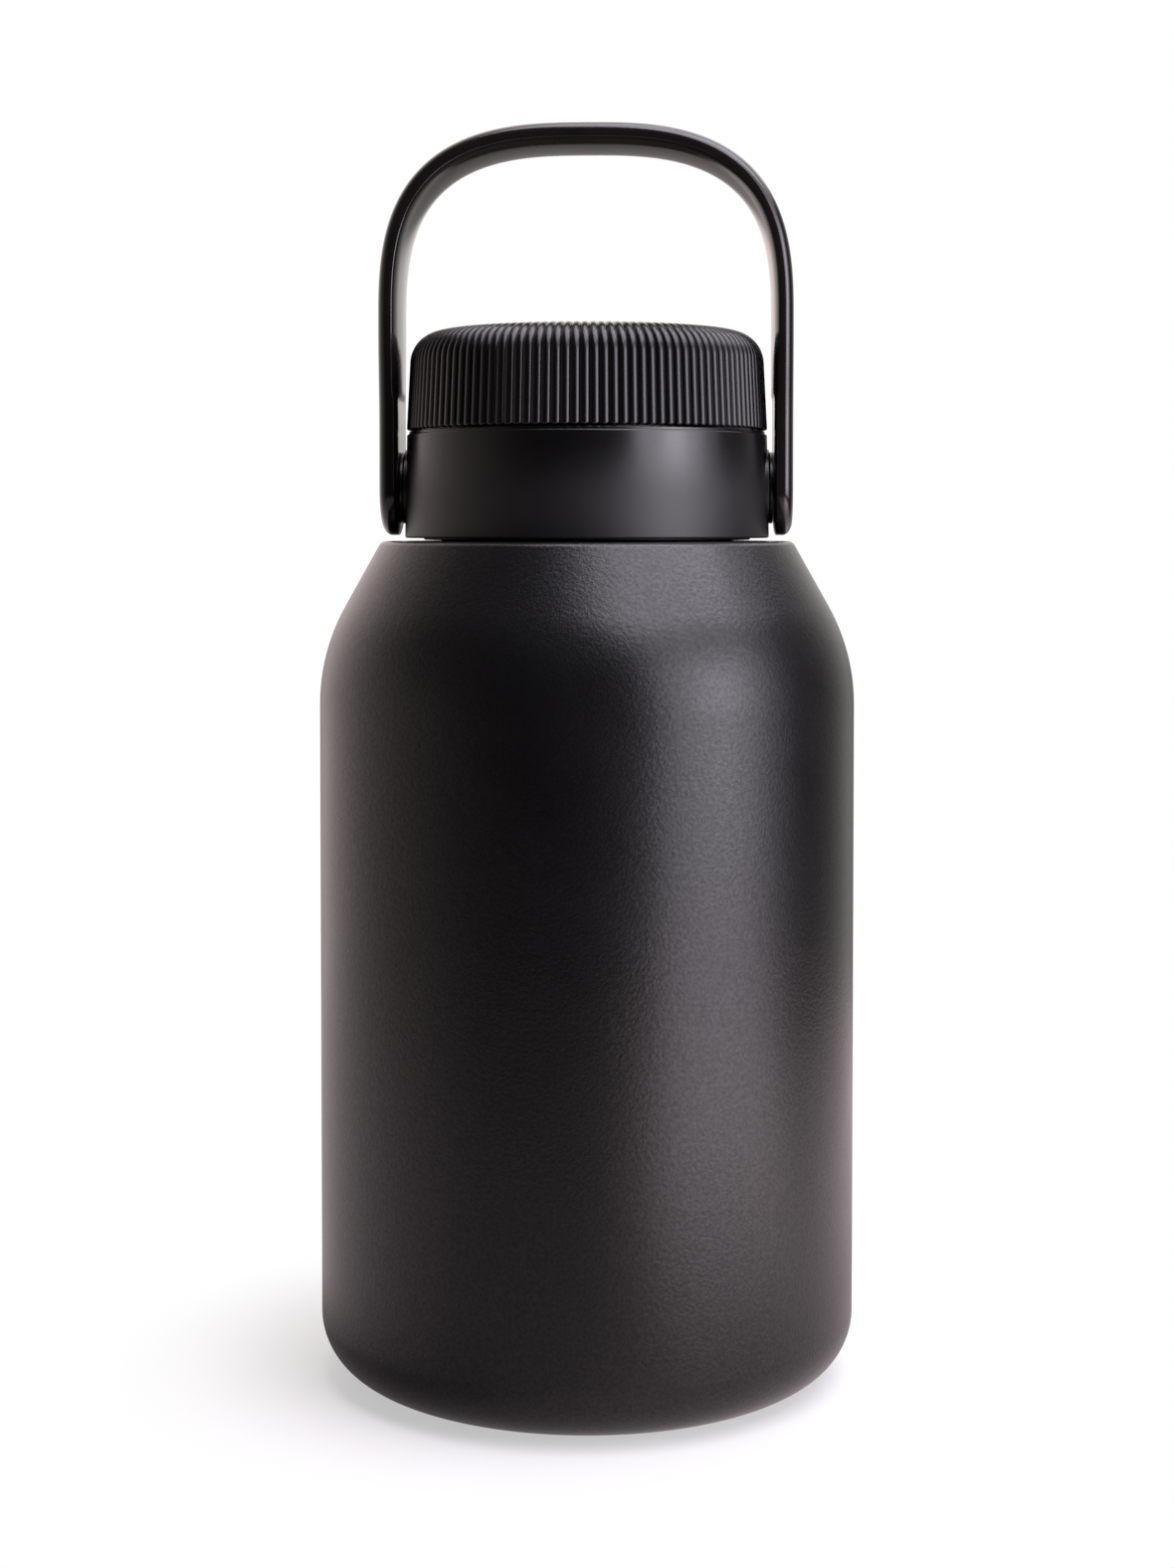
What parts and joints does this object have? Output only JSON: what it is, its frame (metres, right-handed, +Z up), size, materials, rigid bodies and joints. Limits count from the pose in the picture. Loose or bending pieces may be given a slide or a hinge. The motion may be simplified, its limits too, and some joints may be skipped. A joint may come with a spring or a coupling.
{
  "type": "growler",
  "caption": "Insulated double-wall steel growler with a conical shoulder, a threaded collar with spout, a swinging flat bail handle and a ribbed screw cap.",
  "frame": {"origin": "centre of the base, on the surface that the growler stands on", "axes": "+Z up along the bottle's axis through the neck and cap; X is the handle's pivot axis; the handle stands upright at rest and swings towards -Y or +Y"},
  "size_m": [0.125, 0.125, 0.2907],
  "materials": {
    "coated_steel": "matte black powder coat with a fine grain",
    "bare_steel": "brushed stainless steel",
    "copper_foil": "thin copper foil",
    "solder": "dull solder",
    "base_silicone": "matte silicone",
    "seal_silicone": "translucent white silicone",
    "collar_plastic": "satin black moulded polypropylene",
    "cap_plastic": "satin black moulded polypropylene with fine ribs",
    "strap_plastic": "satin black glass-filled nylon",
    "pivot_plastic": "black acetal",
    "brass": "turned and knurled brass",
    "foam": "closed-cell foam"
  },
  "bodies": {
    "flask": {"outer_shell": "coated_steel", "outer_bottom": "coated_steel", "inner_liner": "bare_steel", "inner_bottom": "bare_steel", "heat_shield": "copper_foil", "getter": "bare_steel", "vacuum_seal": "solder", "base_pad": "base_silicone"},
    "collar_seal": {"collar_gasket": "seal_silicone"},
    "collar": {"collar_shell": "collar_plastic", "collar_core": "collar_plastic", "pivot_insert_left": "brass", "pivot_insert_right": "brass", "pivot_screw_left": "bare_steel", "pivot_screw_right": "bare_steel", "pivot_washer_left": "pivot_plastic", "pivot_washer_right": "pivot_plastic"},
    "handle": {"handle_strap": "strap_plastic", "pivot_plug_left": "pivot_plastic", "pivot_plug_right": "pivot_plastic"},
    "cap_seal": {"cap_gasket": "seal_silicone"},
    "cap": {"cap_shell": "cap_plastic", "cap_liner": "cap_plastic", "cap_foam": "foam"}
  },
  "joints": [
    {"name": "collar_lift", "type": "slide", "parent": "flask", "child": "collar_seal", "axis": [0, 0, 1], "range_m": [0, 0.0176]},
    {"name": "collar_turn", "type": "hinge", "parent": "collar_seal", "child": "collar", "pos_m": [0, 0, 0.2], "axis": [0, 0, 1], "range_deg": [0, 1260]},
    {"name": "handle_swing", "type": "hinge", "parent": "collar", "child": "handle", "pos_m": [0, 0, 0.2069], "axis": [1, 0, 0], "range_deg": [-90, 90]},
    {"name": "cap_lift", "type": "slide", "parent": "collar", "child": "cap_seal", "axis": [0, 0, 1], "range_m": [0, 0.0121]},
    {"name": "cap_turn", "type": "hinge", "parent": "cap_seal", "child": "cap", "pos_m": [0, 0, 0.23], "axis": [0, 0, 1], "range_deg": [0, 1080]}
  ],
  "couplings": [
    {"joint": "collar_lift", "follows": "collar_turn", "m_per_rad": 0.00079577},
    {"joint": "cap_lift", "follows": "cap_turn", "m_per_rad": 0.00063662}
  ]
}
